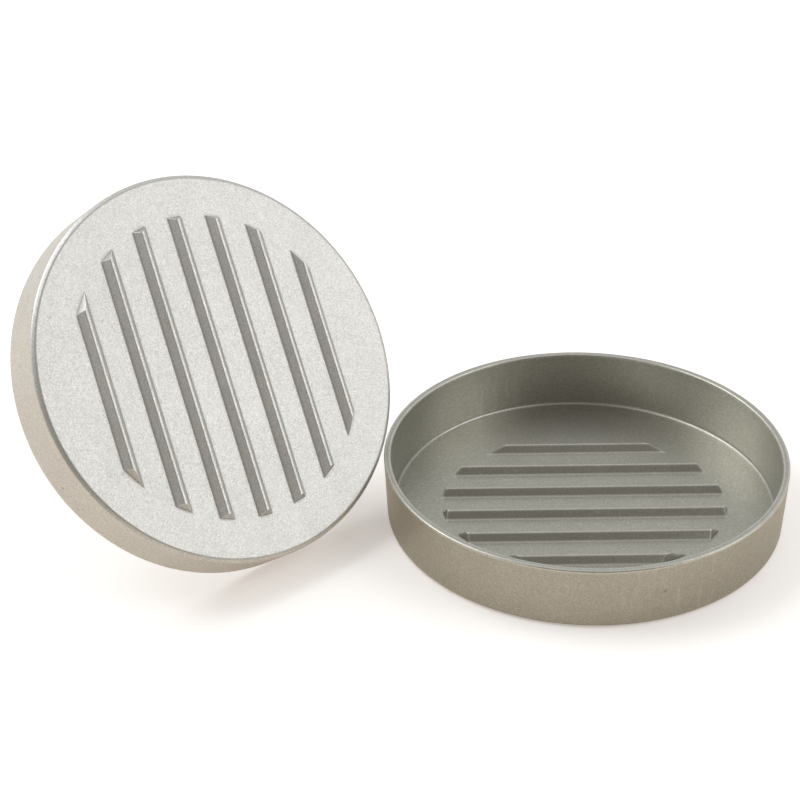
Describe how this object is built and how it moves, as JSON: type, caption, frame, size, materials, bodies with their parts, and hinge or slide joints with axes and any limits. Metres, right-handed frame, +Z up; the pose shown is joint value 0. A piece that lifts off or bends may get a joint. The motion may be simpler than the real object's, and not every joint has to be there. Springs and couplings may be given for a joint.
{
  "type": "patty press",
  "caption": "Hand press for round meat patties: a shallow round pan with a ribbed floor, and a ribbed round press plate on a turned knob that is pushed down into it.",
  "frame": {"origin": "centre of the pan's flat underside, on the table", "axes": "+Z up, out of the pan's mouth; +X from the laid-down press towards the pan; -Y is the front, from which the press's ribbed face is seen"},
  "size_m": [0.2239, 0.12, 0.0985],
  "materials": {
    "pan_coat": "satin metallic non-stick coat, warm grey",
    "plate_coat": "sparkling silver non-stick coat",
    "collar_steel": "brushed stainless steel",
    "grip_plastic": "satin black moulded phenolic",
    "screw_steel": "plain zinc-plated steel",
    "cap_plastic": "satin black moulded plastic"
  },
  "bodies": {
    "base": {"pan": "pan_coat"},
    "press": {"press_plate": "plate_coat", "handle_collar": "collar_steel", "handle_grip": "grip_plastic", "handle_screw": "screw_steel", "flat_washer": "screw_steel", "lock_washer": "screw_steel", "handle_cap": "cap_plastic"}
  },
  "joints": [
    {"name": "press_flip", "type": "hinge", "parent": "base", "child": "press", "pos_m": [-0.05915, -0.00347, 0.0192], "axis": [0.0481, 0.9464, 0.3194], "range_deg": [0, 144.76]}
  ]
}
